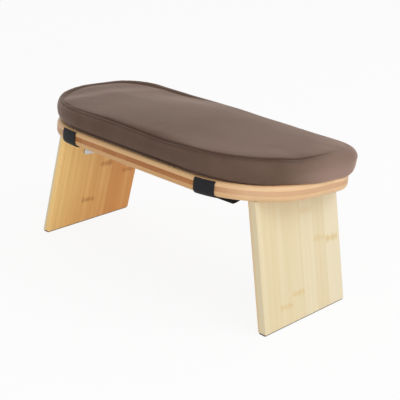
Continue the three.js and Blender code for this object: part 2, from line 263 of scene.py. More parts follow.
@dataclass(frozen=True)
class PressedBamboo(Finish):
    """Flat-pressed bamboo panel under satin lacquer.

    Bamboo culms are split to flat strips, glued side by side and sanded. That gives the eye strips about
    22 mm wide that differ a little in tone, fine straight fibres, and here and there a brown node mark
    across one strip. The panel's own frame has X across the strips, Y along them and Z through it.
    """

    place: Matrix = field(default_factory=Matrix)
    # On the legs the lower tones are painted warm shade, for the inner face and the narrow edges under
    # the seat.
    lower: BambooTones = BambooTones("#efc083", "#dc9f58")
    upper: BambooTones = BambooTones("#e5d8b8", "#dcc99f")
    change_from: float = 6.0
    change_to: float = 15.0
    strip: float = 22.0
    strip_start: float = 1.0
    strip_share: float = 0.45
    # Painted shade: a steady deepening of the tones across the strips, towards the back on the left leg.
    drift: float = 0.0
    tone_stops: tuple[float, float] = (0.35, 0.85)
    fibre_share: float = 0.65
    fibre: float = 1.6
    fibre_run: float = 70.0
    fibre_depth: float = 2.7
    fibre_relief: tuple[float, float] = (0.1, 0.0003)
    mark_half: float = 7.0
    mark_ragged: float = 13.0
    mark_reach: float = 5.0
    mark_faint: float = 0.5
    marks: tuple[NodeMark, ...] = ()
    rough: tuple[float, float] = (0.5, 0.38)

    def paint(self, tree: bpy.types.NodeTree, shader: bpy.types.Node) -> None:
        """Strips, fibres and node marks, with a satin lacquer over them."""
        where, turn, _ = self.place.decompose()
        coords = add_node(tree, "TexCoord")
        panel = add_node(
            tree, "Mapping", coords.outputs["Object"], where, turn.to_euler(), (MM, MM, MM),
            vector_type="TEXTURE",
        ).outputs[0]
        split = add_node(tree, "SeparateXYZ", panel)
        fibres = self.streaks(tree, panel, self.fibre, self.fibre_run, self.fibre_depth)
        colour = self.colour(tree, panel, split, fibres)
        tree.links.new(colour, shader.inputs["Base Color"])
        bump = add_node(tree, "Bump", *self.fibre_relief, sockets={"Height": fibres})
        tree.links.new(bump.outputs[0], shader.inputs["Normal"])
        rough = add_node(tree, "MapRange", fibres, 0.3, 0.7, *self.rough)
        tree.links.new(rough.outputs[0], shader.inputs["Roughness"])
        self.settle(shader, {"IOR": 1.5, "Specular IOR Level": 0.35})

    def colour(
        self,
        tree: bpy.types.NodeTree,
        panel: bpy.types.NodeSocket,
        split: bpy.types.Node,
        fibres: bpy.types.NodeSocket,
    ) -> bpy.types.NodeSocket:
        """The panel's colour: amber on its lower face, paler on its upper face, then its node marks.
        On the legs the amber is painted warm shade.
        """
        number = self.strip_number(tree, split)
        tone = add_node(tree, "TexWhiteNoise", sockets={"W": number}, noise_dimensions="1D")
        middle = (1 - self.fibre_share) / 2
        shade = add_node(
            tree, "Math", fibres, self.fibre_share, middle, operation="MULTIPLY_ADD"
        ).outputs[0]
        for source, share in ((tone.outputs["Value"], self.strip_share), (split.outputs[0], self.drift)):
            shade = add_node(tree, "Math", source, share, shade, operation="MULTIPLY_ADD").outputs[0]
        faces = [
            add_node(
                tree, "ValToRGB", shade, stops=list(zip(self.tone_stops, (tones.deep, tones.light)))
            )
            for tones in (self.lower, self.upper)
        ]
        rise = add_node(tree, "MapRange", split.outputs[2], self.change_from, self.change_to)
        colour = add_node(
            tree, "Mix", rise.outputs[0], data_type="RGBA",
            sockets={6: faces[0].outputs[0], 7: faces[1].outputs[0]},
        ).outputs[2]
        ragged = self.streaks(tree, panel, 1.0, 12.0, self.fibre_depth)
        shown = add_node(tree, "MapRange", rise.outputs[0], 0.0, 1.0, 1.0, self.mark_faint).outputs[0]
        for mark in self.marks:
            colour = self.marked(tree, split, number, ragged, shown, colour, mark)
        return colour

    def strip_number(self, tree: bpy.types.NodeTree, split: bpy.types.Node) -> bpy.types.NodeSocket:
        """The number of the strip that a point lies in."""
        inset = add_node(tree, "Math", split.outputs[0], self.strip_start, operation="SUBTRACT")
        share = add_node(tree, "Math", inset.outputs[0], self.strip, operation="DIVIDE")
        return add_node(tree, "Math", share.outputs[0], operation="FLOOR").outputs[0]

    @staticmethod
    def streaks(
        tree: bpy.types.NodeTree,
        panel: bpy.types.NodeSocket,
        width: float,
        run: float,
        depth: float,
    ) -> bpy.types.NodeSocket:
        """Noise drawn out along the strips, at a width, a run and a depth in millimetres.

        The real fibres are 0.2 to 0.5 mm wide, and are drawn coarser so that they show.
        """
        scale = (1 / width, 1 / run, 1 / depth)
        drawn = add_node(tree, "Mapping", panel, None, None, scale)
        noise_map = add_node(
            tree, "TexNoise",
            sockets={"Vector": drawn.outputs[0], "Scale": 0.25, "Detail": 5.0, "Roughness": 0.6},
        )
        return noise_map.outputs["Fac"]

    def marked(
        self,
        tree: bpy.types.NodeTree,
        split: bpy.types.Node,
        number: bpy.types.NodeSocket,
        ragged: bpy.types.NodeSocket,
        shown: bpy.types.NodeSocket,
        colour: bpy.types.NodeSocket,
        mark: NodeMark,
    ) -> bpy.types.NodeSocket:
        """Lays one node mark over the colour.

        Args:
            tree: the material's node tree.
            split: the place in the panel's own frame.
            number: the number of the strip that a point lies in.
            ragged: short streaks that fray the mark along the fibres.
            shown: how much of a mark shows, which is less on the upper face.
            colour: the colour without the mark.
            mark: the mark.

        Returns:
            The colour with the mark.
        """
        strip = math.floor((mark.across - self.strip_start) / self.strip)
        inside = add_node(tree, "Math", number, float(strip), 0.5, operation="COMPARE")
        away = add_node(tree, "Math", split.outputs[1], mark.along, operation="SUBTRACT")
        away = add_node(tree, "Math", away.outputs[0], operation="ABSOLUTE")
        loose = add_node(
            tree, "Math", ragged, self.mark_ragged, away.outputs[0], operation="MULTIPLY_ADD"
        )
        band = add_node(
            tree, "MapRange", loose.outputs[0], self.mark_half + self.mark_reach, self.mark_half, 0.0,
            mark.strength, interpolation_type="SMOOTHSTEP",
        )
        share = add_node(tree, "Math", inside.outputs[0], band.outputs[0], operation="MULTIPLY")
        share = add_node(tree, "Math", share.outputs[0], shown, operation="MULTIPLY")
        return add_node(
            tree, "Mix", share.outputs[0], data_type="RGBA",
            sockets={6: colour, 7: linear(mark.tone)},
        ).outputs[2]


@dataclass(frozen=True)
class ThreePlyBamboo(PressedBamboo):
    """Bamboo board of three plies, the middle one laid crosswise and darker from steaming.

    Its edge shows two light plies with fibres along it. Between them the core shows its strips' ends as
    short blocks along the front and the back, and its fibres, which are paler, at the two ends. There
    the light plies show their end grain, which is paler too.
    """

    core: BambooTones = BambooTones("#b57843", "#a36532")
    core_from: float = 7.6
    core_to: float = 14.0
    core_stops: tuple[float, float] = (0.35, 0.95)
    half: float = 10.0
    rim: float = 1.5
    block: float = 23.0
    block_share: float = 0.5
    joint_tone: str = "#95602f"
    joint_share: float = 0.025
    end_tone: str = "#eccca6"
    end_from: float = 120.0
    end_to: float = 182.0
    end_most: float = 0.5

    def colour(
        self,
        tree: bpy.types.NodeTree,
        panel: bpy.types.NodeSocket,
        split: bpy.types.Node,
        fibres: bpy.types.NodeSocket,
    ) -> bpy.types.NodeSocket:
        """The light plies' colour with the core's blocks between them."""
        face = super().colour(tree, panel, split, fibres)
        _, along, depth = split.outputs
        run = add_node(tree, "Math", along, self.block, operation="DIVIDE").outputs[0]
        block = add_node(tree, "Math", run, operation="FLOOR").outputs[0]
        tone = add_node(tree, "TexWhiteNoise", sockets={"W": block}, noise_dimensions="1D")
        shade = add_node(
            tree, "Math", tone.outputs["Value"], self.block_share, fibres, operation="MULTIPLY_ADD"
        ).outputs[0]
        core = add_node(
            tree, "ValToRGB", shade,
            stops=list(zip(self.core_stops, (self.core.deep, self.core.light))),
        ).outputs[0]
        place = add_node(tree, "Math", run, operation="FRACT").outputs[0]
        joint = add_node(tree, "Math", place, self.joint_share, operation="LESS_THAN").outputs[0]
        core = add_node(
            tree, "Mix", joint, data_type="RGBA", sockets={6: core, 7: linear(self.joint_tone)}
        ).outputs[2]
        out = add_node(tree, "Math", along, operation="ABSOLUTE").outputs[0]
        over = add_node(tree, "Math", depth, self.core_from, operation="GREATER_THAN").outputs[0]
        under = add_node(tree, "Math", depth, self.core_to, operation="LESS_THAN").outputs[0]
        inside = add_node(tree, "Math", over, under, operation="MULTIPLY").outputs[0]
        plies = add_node(
            tree, "Mix", inside, data_type="RGBA", sockets={6: face, 7: core}
        ).outputs[2]
        end = add_node(tree, "MapRange", out, self.end_from, self.end_to, 0.0, self.end_most)
        level = add_node(tree, "Math", depth, self.half, operation="SUBTRACT").outputs[0]
        level = add_node(tree, "Math", level, operation="ABSOLUTE").outputs[0]
        rim = add_node(tree, "MapRange", level, self.half, self.half - self.rim)
        pale = add_node(tree, "Math", end.outputs[0], rim.outputs[0], operation="MULTIPLY")
        return add_node(
            tree, "Mix", pale.outputs[0], data_type="RGBA",
            sockets={6: plies, 7: linear(self.end_tone)},
        ).outputs[2]


@dataclass(frozen=True)
class BrushedFabric(Finish):
    """Peach-skin polyester: a close weave brushed to a short nap.

    It looks soft and even, a little lighter at a glancing angle, with faint cloudy shading where the nap
    lies differently. The 0.35 mm weave is drawn at 0.8 mm, so that it just shows.
    """

    light: str = "#675347"
    deep: str = "#5c473c"
    # Painted shade: the colour laid in the seam's fold and along the hem against the board.
    crease: str = "#301a0c"
    # Painted light: the paler colour laid on the cover's right end and the crown's right part.
    brushed: str = "#9c8175"
    sheen: str = "#dfcabd"
    weave: float = 0.8
    cloud: float = 60.0

    def paint(self, tree: bpy.types.NodeTree, shader: bpy.types.Node) -> None:
        """Cloudy tone, fine weave bump and sheen, with painted light and painted shade laid on by the
        piece's own attributes.
        """
        point = add_node(tree, "TexCoord").outputs["Object"]
        cloud = add_node(
            tree, "TexNoise",
            sockets={"Vector": point, "Scale": 1 / (self.cloud * MM), "Detail": 5.0, "Roughness": 0.6},
        )
        cloudy = add_node(
            tree, "ValToRGB", cloud.outputs["Fac"], stops=[(0.3, self.deep), (0.7, self.light)]
        )
        # Painted light, paler towards the cover's right end.
        nap = add_node(tree, "Attribute", attribute_name="nap")
        with_painted_light = add_node(
            tree, "Mix", nap.outputs["Fac"], data_type="RGBA",
            sockets={6: cloudy.outputs[0], 7: linear(self.brushed)},
        )
        # Painted shade, darkest in the seam's fold and along the hem.
        crease = add_node(tree, "Attribute", attribute_name="crease")
        colour = add_node(
            tree, "Mix", crease.outputs["Fac"], data_type="RGBA",
            sockets={6: with_painted_light.outputs[2], 7: linear(self.crease)},
        )
        tree.links.new(colour.outputs[2], shader.inputs["Base Color"])
        threads = add_node(
            tree, "TexNoise", sockets={"Vector": point, "Scale": 1 / (self.weave * MM), "Detail": 2.0}
        )
        bump = add_node(tree, "Bump", 0.25, 0.0002, sockets={"Height": threads.outputs["Fac"]})
        tree.links.new(bump.outputs[0], shader.inputs["Normal"])
        values = {"Roughness": 0.92, "Specular IOR Level": 0.15, "Sheen Weight": 0.7}
        self.settle(shader, {**values, "Sheen Roughness": 0.35, "Sheen Tint": linear(self.sheen)})


class Grain(Enum):
    """A fine grain's pattern: its texture node, and that node's output."""

    CLOUDS = ("TexNoise", "Fac")
    CELLS = ("TexVoronoi", "Distance")


@dataclass(frozen=True)
class GrainedFinish(Finish):
    """A finish with one fine even grain, in millimetres, that shows in its colour.

    It may show in the relief too, as a strength and a height in metres, or in the roughness.
    """

    grain: Grain
    size: float
    stops: tuple[tuple[float, str], ...]
    relief: Optional[tuple[float, float]] = None
    rough: Optional[tuple[float, float]] = None
    texture: tuple[tuple[str, float], ...] = ()
    surface: tuple[tuple[str, float], ...] = ()

    def paint(self, tree: bpy.types.NodeTree, shader: bpy.types.Node) -> None:
        """The grain in the colour, then in the relief or the roughness."""
        kind, output = self.grain.value
        point = add_node(tree, "TexCoord").outputs["Object"]
        grain = add_node(
            tree, kind, sockets={"Vector": point, "Scale": 1 / (self.size * MM), **dict(self.texture)}
        ).outputs[output]
        colour = add_node(tree, "ValToRGB", grain, stops=self.stops)
        tree.links.new(colour.outputs[0], shader.inputs["Base Color"])
        if self.relief:
            bump = add_node(tree, "Bump", *self.relief, sockets={"Height": grain})
            tree.links.new(bump.outputs[0], shader.inputs["Normal"])
        if self.rough:
            rough = add_node(tree, "MapRange", grain, 0.3, 0.7, *self.rough)
            tree.links.new(rough.outputs[0], shader.inputs["Roughness"])
        self.settle(shader, dict(self.surface))


# The bench's own finishes

HONEY = "#cda33c"
# On the left leg the amber lower tones are painted warm shade over the inner face and the narrow edges,
# pale only on the outer face; the drift paints it darker towards the back.
LEFT_BAMBOO = PressedBamboo(
    "pressed_bamboo_left_leg", lower=BambooTones("#ffd58b", "#de9c55"), change_from=12.6, change_to=13.0,
    strip_share=0.13, drift=-0.0044,
    marks=(NodeMark(10, 60, 0.45), NodeMark(-12, 116, 0.45), NodeMark(56, 77, 0.4)),
)
# On the right leg the amber lower tones are painted shade, fading from the inner face across the narrow
# edges to the pale outer face.
RIGHT_BAMBOO = PressedBamboo(
    "pressed_bamboo_right_leg", change_from=-1.0, change_to=9.5,
    marks=(
        NodeMark(56, -66, 0.8, HONEY), NodeMark(35, -62, 0.4, HONEY), NodeMark(-10, -122, 0.6, HONEY),
        NodeMark(-32, -134, 0.6, HONEY), NodeMark(12, -24, 0.3, HONEY),
    ),
)
COVER_FABRIC = BrushedFabric("brushed_polyester_cover")
# Woven black nylon with a dense matt pile looks almost flat black, with a fine speckle. The 0.4 mm hooks
# are drawn at 0.9 mm.
TAPE = GrainedFinish(
    "nylon_hook_and_loop_tape", Grain.CELLS, 0.9, ((0.1, "#2e2e32"), (0.6, "#1c1c1f")),
    relief=(0.5, 0.0003),
    surface=(("Roughness", 0.85), ("Specular IOR Level", 0.2), ("Sheen Weight", 0.1)),
)
# Pressed steel, plated with bright zinc and tumbled, is a pale grey metal with soft reflections, slightly
# clouded by the tumbling.
ZINC = GrainedFinish(
    "zinc_plated_steel", Grain.CLOUDS, 6.0, ((0.35, "#bfbdb8"), (0.65, "#cfcdc8")), rough=(0.3, 0.45),
    texture=(("Detail", 4.0),), surface=(("Metallic", 1.0),),
)
# Dark rubber sheet, calendered and cut to strips, is matt with a fine grain.
RUBBER = GrainedFinish(
    "calendered_rubber_strip", Grain.CLOUDS, 1.2, ((0.4, "#4a433d"), (0.6, "#5c544d")),
    relief=(0.3, 0.0002), surface=(("Roughness", 0.8),),
)
# Cream polyurethane foam, cut from a block, shows open cells about 1 mm across.
FOAM = GrainedFinish(
    "cut_polyurethane_foam", Grain.CELLS, 1.0, ((0.1, "#d9cdb0"), (0.5, "#efe6cf")),
    relief=(0.6, 0.0004), surface=(("Roughness", 0.95),),
)


# Pieces


def add_piece(
    name: str,
    bm: bmesh.types.BMesh,
    place: Matrix,
    finish: Finish,
    body: str,
    nodes: Iterable[str] = (),
    sharp: float = SHARP_TURN,
) -> bpy.types.Object:
    """Turns a bmesh in millimetres to a finished piece that rides on a body.

    Args:
        name: the piece's name.
        bm: its shape, in millimetres in its own frame. It is freed.
        place: its own frame, in the row frame in metres.
        finish: its surface finish.
        body: the body that it rides on.
        nodes: the frame's nodes that it stands for.
        sharp: the turn from which an edge stays sharp.

    Returns:
        The new object.
    """
    bm.transform(place @ Matrix.Scale(MM, 4))
    bmesh.ops.recalc_face_normals(bm, faces=bm.faces)
    mesh = bpy.data.meshes.new(name)
    bm.to_mesh(mesh)
    bm.free()
    return add_mesh(name, mesh, finish, body, nodes, sharp)


def add_mesh(
    name: str,
    mesh: bpy.types.Mesh,
    finish: Finish,
    body: str,
    nodes: Iterable[str] = (),
    sharp: float = SHARP_TURN,
) -> bpy.types.Object:
    """Dresses a mesh that is already in the row frame, in metres. The arguments are add_piece's."""
    piece = bpy.data.objects.new(name, mesh)
    bpy.context.scene.collection.objects.link(piece)
    mesh.materials.clear()
    mesh.materials.append(finish.material())
    mesh.polygons.foreach_set("use_smooth", [True] * len(mesh.polygons))
    mesh.set_sharp_from_angle(angle=sharp)
    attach(piece, body)
    if nodes:
        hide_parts(*nodes)
    log.info("%s: %d faces on %s, %s", name, len(mesh.polygons), body, finish.name)
    return piece


def smooth_copy(
    node: str, finish: Finish, body: str, arris: float = 0.15
) -> bpy.types.Object:
    """Copies a frame node, merges its loose triangles, and breaks its edges like the real part's.

    Args:
        node: the frame's node.
        finish: its surface finish.
        body: the body that it rides on.
        arris: width of the broken edges, in millimetres.

    Returns:
        The piece that stands for the node.
    """
    bm = bmesh.new()
    bm.from_mesh(frame["nodes"][node].data)
    bmesh.ops.remove_doubles(bm, verts=bm.verts, dist=1e-6)
    limit = math.radians(2)
    bmesh.ops.dissolve_limit(bm, angle_limit=limit, verts=bm.verts, edges=bm.edges)
    mesh = bpy.data.meshes.new(f"{node}_fine")
    bm.to_mesh(mesh)
    bm.free()
    piece = add_mesh(f"{node}_fine", mesh, finish, body, [node], math.radians(30))
    break_edges(piece, arris, SHARP_TURN)
    return piece


def break_edges(piece: bpy.types.Object, width: float, turn: float) -> None:
    """Breaks the edges that turn more than an angle, to a width in millimetres."""
    bevel = piece.modifiers.new("broken_edges", "BEVEL")
    bevel.width = width * MM
    bevel.segments = 2
    bevel.limit_method = "ANGLE"
    bevel.angle_limit = turn


def round_edges(
    bm: bmesh.types.BMesh, edges: Sequence[bmesh.types.BMEdge], radius: float, segments: int
) -> None:
    """Rounds some edges of a shape over, to a radius in millimetres."""
    bmesh.ops.bevel(
        bm, geom=edges, offset=radius, offset_type="OFFSET", affect="EDGES", segments=segments,
        profile=0.5, material=-1,
    )


# Seat


@dataclass(frozen=True)
class SeatPlan:
    """The D-shaped plan of the seat: arcs for two back corners, two large front corners and the bow."""

    length: float = 433.0
    depth: float = 196.0
    front_radius: float = 106.5
    back_radius: float = 43.5
    bow_radius: float = 6000.0
    corner_steps: int = 24
    bow_steps: int = 24

    def loop(
        self, bm: bmesh.types.BMesh, grow: float, z: float, share: float = 1.0
    ) -> list[bmesh.types.BMVert]:
        """Draws the plan as a closed ring of vertices, each arc spun about its centre.

        Args:
            bm: the mesh to draw in.
            grow: distance outside the plan.
            z: height of the ring.
            share: the ring's size as a share of the plan's.

        Returns:
            The vertices, counter-clockwise from above, from the right end's straight stretch.
        """
        half_x, half_y = self.length / 2, self.depth / 2
        back = Vector((half_x - self.back_radius, half_y - self.back_radius, z))
        bow = Vector((0, self.bow_radius - half_y, z))
        front_x = half_x - self.front_radius
        front_y = bow.y - math.sqrt((self.bow_radius - self.front_radius) ** 2 - front_x**2)
        front = Vector((front_x, front_y, z))
        angle = math.asin(front_x / (self.bow_radius - self.front_radius))
        quarter = math.pi / 2
        mirror = Vector((-1, 1, 1))
        arcs = [
            (back, self.back_radius, 0.0, quarter, self.corner_steps),
            (back * mirror, self.back_radius, quarter, quarter, self.corner_steps),
            (front * mirror, self.front_radius, 2 * quarter, quarter - angle, self.corner_steps),
            (bow, self.bow_radius, 3 * quarter - angle, 2 * angle, self.bow_steps),
            (front, self.front_radius, angle - quarter, quarter - angle, self.corner_steps),
        ]
        ring: list[bmesh.types.BMVert] = []
        for centre, radius, start, sweep, steps in arcs:
            self.add_arc(bm, ring, centre, radius + grow, start, sweep, steps)
        bmesh.ops.scale(bm, vec=(share, share, 1.0), verts=ring)
        for first, second in zip(ring, ring[1:] + ring[:1]):
            if not bm.edges.get((first, second)):
                bm.edges.new((first, second))
        return ring

    @staticmethod
    def add_arc(
        bm: bmesh.types.BMesh,
        ring: list[bmesh.types.BMVert],
        centre: Vector,
        radius: float,
        start: float,
        sweep: float,
        steps: int,
    ) -> None:
        """Spins a vertex about a centre, and adds the arc to the ring.

        Args:
            bm: the mesh to draw in.
            ring: the vertices so far. The arc starts from the last one where they meet.
            centre: the arc's centre.
            radius: its radius.
            start: the angle that it starts at.
            sweep: the angle that it covers.
            steps: how many edges it has.
        """
        begin = centre + Vector((math.cos(start), math.sin(start), 0)) * radius
        if not ring or (ring[-1].co - begin).length > JOIN_GAP:
            ring.append(bm.verts.new(begin))
        count = len(bm.verts)
        bmesh.ops.spin(
            bm, geom=[ring[-1]], cent=centre, axis=(0, 0, 1), angle=sweep, steps=steps,
            use_duplicate=False,
        )
        bm.verts.ensure_lookup_table()
        ring += [bm.verts[i] for i in range(count, len(bm.verts))]

    def edge_y(self, x: float, grow: float, edge: Edge) -> float:
        """Where the plan's long edge lies at a place along the seat, grown by a distance."""
        half_x, half_y = self.length / 2, self.depth / 2
        if edge is Edge.BACK:
            past = max(abs(x) - (half_x - self.back_radius), 0.0)
            return half_y - self.back_radius + math.sqrt((self.back_radius + grow) ** 2 - past**2)
        bow_y = self.bow_radius - half_y
        front_x = half_x - self.front_radius
        if abs(x) < front_x:
            return bow_y - math.sqrt((self.bow_radius + grow) ** 2 - x**2)
        front_y = bow_y - math.sqrt((self.bow_radius - self.front_radius) ** 2 - front_x**2)
        return front_y - math.sqrt((self.front_radius + grow) ** 2 - (abs(x) - front_x) ** 2)

    def outside(self, points: np.ndarray) -> np.ndarray:
        """How far points lie outside the plan, less than 0 inside.

        Args:
            points: places along and across the seat, one row each.

        Returns:
            The distances.
        """
        bm = bmesh.new()
        ring = np.array([v.co.xy for v in self.loop(bm, 0.0, 0.0)])
        bm.free()
        ahead = np.roll(ring, -1, axis=0) - ring
        best = np.full(len(points), np.inf)
        inside = np.ones(len(points), bool)
        for corner, run in zip(ring, ahead):
            length = float(np.hypot(*run))
            if length < 1e-9:
                continue
            away = points - corner
            share = np.clip(away @ run / length**2, 0, 1)
            best = np.minimum(best, np.hypot(*(away - share[:, None] * run).T))
            inside &= (run[0] * away[:, 1] - run[1] * away[:, 0]) >= 0
        return np.where(inside, -best, best)


@dataclass(frozen=True)
class SeatBoard:
    """The three-ply bamboo board, with its edge rounded above and below."""

    plan: SeatPlan
    layout: Layout
    thickness: float = 20.0
    edge_round: float = 6.0
    round_segments: int = 8
    face_margin: float = 0.5

    def finish(self) -> Finish:
        """Three-ply bamboo with strips along the seat."""
        place = self.layout.seat() @ Matrix.Rotation(math.radians(90), 4, "Z")
        return ThreePlyBamboo(
            "three_ply_pressed_bamboo", place=place, lower=BambooTones("#d8a871", "#c3915a"),
            upper=BambooTones("#e4ba87", "#d09d69"), fibre=6.0, fibre_depth=1.1,
        )

    def build(self) -> bpy.types.Object:
        """Extrudes the plan and rounds both rims."""
        bm = bmesh.new()
        face = bm.faces.new(self.plan.loop(bm, 0.0, 0.0))
        made = bmesh.ops.extrude_face_region(bm, geom=[face], use_keep_orig=True)
        top = [g for g in made["geom"] if isinstance(g, bmesh.types.BMVert)]
        bmesh.ops.translate(bm, vec=(0, 0, self.thickness), verts=top)
        rims = [e for e in bm.edges if abs(e.verts[0].co.z - e.verts[1].co.z) < FLAT]
        round_edges(bm, rims, self.edge_round, self.round_segments)
        caps = [f for f in bm.faces if len(f.verts) > 8]
        bmesh.ops.inset_region(bm, faces=caps, thickness=self.face_margin, use_even_offset=True)
        return add_piece(
            "seat_board_fine", bm, self.layout.seat(), self.finish(), "seat", ["seat_board"]
        )


@dataclass(frozen=True)
class Section:
    """The cover's section from its hem to its crown.

    The band is two stretches of rounded curve that meet at its fullest height. A power of 2 makes a
    stretch an ellipse, less makes it slacker, and more makes it squarer.
    """

    hem_inset: float
    lower_power: float
    upper_power: float
    seam_inset: float
    seam_height: float
    crown_edge: float
    crown_edge_rise: float
    crown_rise: float
    reach_out: float = 8.5
    belly_height: float = 13.0
    steps: int = 7
    crown_edge_steps: int = 4
    crown_shares: tuple[float, ...] = (0.8, 0.6, 0.4, 0.2)

    def rows(self) -> list[tuple[float, float, float]]:
        """Rows of growth outside the plan, height, and the share of the plan's size."""
        rows = []
        for i in range(self.steps + 1):
            turn = math.pi / 2 * i / self.steps
            out, up = max(math.sin(turn), 0.0), max(math.cos(turn), 0.0)
            power = 2 / self.lower_power
            grow = -self.hem_inset + (self.reach_out + self.hem_inset) * out**power
            rows.append((grow, self.belly_height * (1 - up**power), 1.0))
        for i in range(1, self.steps + 1):
            turn = math.pi / 2 * i / self.steps
            out, up = max(math.cos(turn), 0.0), max(math.sin(turn), 0.0)
            power = 2 / self.upper_power
            grow = -self.seam_inset + (self.reach_out + self.seam_inset) * out**power
            rows.append(
                (grow, self.belly_height + (self.seam_height - self.belly_height) * up**power, 1.0)
            )
        edge, edge_z = 0.0, 0.0
        for i in range(1, self.crown_edge_steps + 1):
            turn = math.pi / 2 * i / self.crown_edge_steps
            edge = -self.seam_inset - self.crown_edge * (1 - math.cos(turn))
            edge_z = self.seam_height + self.crown_edge_rise * math.sin(turn)
            rows.append((edge, edge_z, 1.0))
        for share in self.crown_shares:
            rows.append((edge, edge_z + self.crown_rise * (1 - share**2), share))
        return rows


@dataclass(frozen=True)
class CoverMoves:
    """How far a stuffed cover lies away from its even form, place by place, in millimetres."""

    tuck_front: float = 4.0
    slack_back: float = 3.0
    seam_left: float = 2.6
    seam_front_right: float = 3.0
    crown_middle: float = 1.6
    crown_right: float = 0.4
    sink_left: float = 2.0
    sink_back: float = 1.6
    sink_left_end: float = 3.0
    sink_left_front: float = 1.0
    sink_left_back: float = 3.4
    hang_corner: float = 6.0
    hang_end: float = 4.4
    lean_left: float = 3.2
    lean_right: float = 2.2


@dataclass(frozen=True)
class Cushion:
    """The cushion: a brushed fabric cover with a sewn top seam, its base panel and its foam core.

    The cover starts as rings from the hem up the swelling band to the seam and over the crown. It is
    inflated as cloth, which gives the soft unevenness of a stuffed cover, and then gets its seam.
    """

    layout: Layout
    plan: SeatPlan = SeatPlan(front_radius=122.0, back_radius=41.0)
    shift: tuple[float, float, float] = (-1.75, 2.5, 20.3)
    soft: Section = Section(
        hem_inset=5.0, lower_power=2.4, upper_power=4.5, seam_inset=-1.0, seam_height=28.0,
        crown_edge=14.0, crown_edge_rise=4.2, crown_rise=2.0,
    )
    full: Section = Section(
        hem_inset=4.0, lower_power=3.0, upper_power=2.6, seam_inset=8.0, seam_height=29.4,
        crown_edge=14.0, crown_edge_rise=2.0, crown_rise=1.2,
    )
    moves: CoverMoves = CoverMoves()
    voxel: float = 5.0
    held_height: float = 0.6
    pressure: float = 3.5
    cap: float = 2.2
    cloth_quality: int = 6
    cloth_mass: float = 0.3
    cloth_frames: int = 20
    seam_width: float = 2.0
    seam_shade_width: float = 4.5
    seam_depth: float = 1.2
    seam_reach: float = 10.0
    seam_eased: float = 0.8
    seam_shade: float = 0.7
    seam_shade_lost: float = 0.6
    hem_shade_most: float = 0.95
    # How much painted light the band's right end, its foot there and the crown's right part get.
    nap_band: float = 0.53
    nap_foot: float = 0.4
    nap_crown: float = 0.2
    smooth_rounds: int = 3
    foam_gap: float = 2.0

    def place(self) -> Matrix:
        """The cushion's frame on the board."""
        return self.layout.seat() @ Matrix.Translation(Vector(self.shift) * MM)

    def form(self, section: Section) -> bmesh.types.BMesh:
        """Bridges the rings of a section to a closed form."""
        bm = bmesh.new()
        loops = []
        for grow, height, share in section.rows():
            ring = self.plan.loop(bm, grow, height, share)
            loops.append([bm.edges.get(pair) for pair in zip(ring, ring[1:] + ring[:1])])
            if len(loops) == 1 or share == section.crown_shares[-1]:
                bm.faces.new(ring)
        for below, above in zip(loops, loops[1:]):
            bmesh.ops.bridge_loops(bm, edges=below + above)
        return bm

    def build(self) -> list[bpy.types.Object]:
        """Makes the cover, the base panel and the foam core."""
        bm, full = self.form(self.soft), self.form(self.full)
        for vert, other in zip(bm.verts, full.verts):
            vert.co = vert.co.lerp(other.co, self.fullness(other.co.x, other.co.y))
        full.free()
        bm.transform(Matrix.Scale(MM, 4))
        bmesh.ops.recalc_face_normals(bm, faces=bm.faces)
        mesh = bpy.data.meshes.new("cushion_form")
        bm.to_mesh(mesh)
        bm.free()
        mesh = self.remeshed(mesh)
        self.inflate(mesh)
        shape = self.shaped(mesh)
        return self.parts(shape)

    def remeshed(self, mesh: bpy.types.Mesh) -> bpy.types.Mesh:
        """An even mesh of the form, as cloth needs."""
        scratch = bpy.data.objects.new("cushion_scratch", mesh)
        bpy.context.scene.collection.objects.link(scratch)
        remesh = scratch.modifiers.new("even", "REMESH")
        remesh.mode = "VOXEL"
        remesh.voxel_size = self.voxel * MM
        bpy.context.view_layer.update()
        graph = bpy.context.evaluated_depsgraph_get()
        made = bpy.data.meshes.new_from_object(scratch.evaluated_get(graph))
        bpy.data.objects.remove(scratch)
        return made

    def inflate(self, mesh: bpy.types.Mesh) -> None:
        """Swells the cover under pressure with its underside held, and scales its moves to a largest."""
        scratch = bpy.data.objects.new("cushion_cloth", mesh)
        scene = bpy.context.scene
        scene.collection.objects.link(scratch)
        held = scratch.vertex_groups.new(name="held")
        low = [v.index for v in mesh.vertices if v.co.z < self.held_height * MM]
        held.add(low, 1.0, "REPLACE")
        cloth = scratch.modifiers.new("cloth", "CLOTH")
        cloth.settings.quality = self.cloth_quality
        cloth.settings.mass = self.cloth_mass
        cloth.settings.use_pressure = True
        cloth.settings.uniform_pressure_force = self.pressure
        cloth.settings.effector_weights.gravity = 0.0
        cloth.settings.vertex_group_mass = "held"
        cloth.point_cache.frame_start = 1
        cloth.point_cache.frame_end = self.cloth_frames
        for number in range(1, self.cloth_frames + 1):
            scene.frame_set(number)
        graph = bpy.context.evaluated_depsgraph_get()
        moved = scratch.evaluated_get(graph).data
        rest = np.empty(len(mesh.vertices) * 3)
        after = np.empty_like(rest)
        mesh.vertices.foreach_get("co", rest)
        moved.vertices.foreach_get("co", after)
        step = (after - rest).reshape(-1, 3)
        far = np.linalg.norm(step, axis=1, keepdims=True)
        step *= min(1.0, self.cap * MM / float(far.max()))
        mesh.vertices.foreach_set("co", (rest.reshape(-1, 3) + step).ravel())
        mesh.update()
        scene.frame_set(1)
        bpy.data.objects.remove(scratch)
        log.info("cushion cloth moved %.1f mm at most", float(far.max()) / MM)

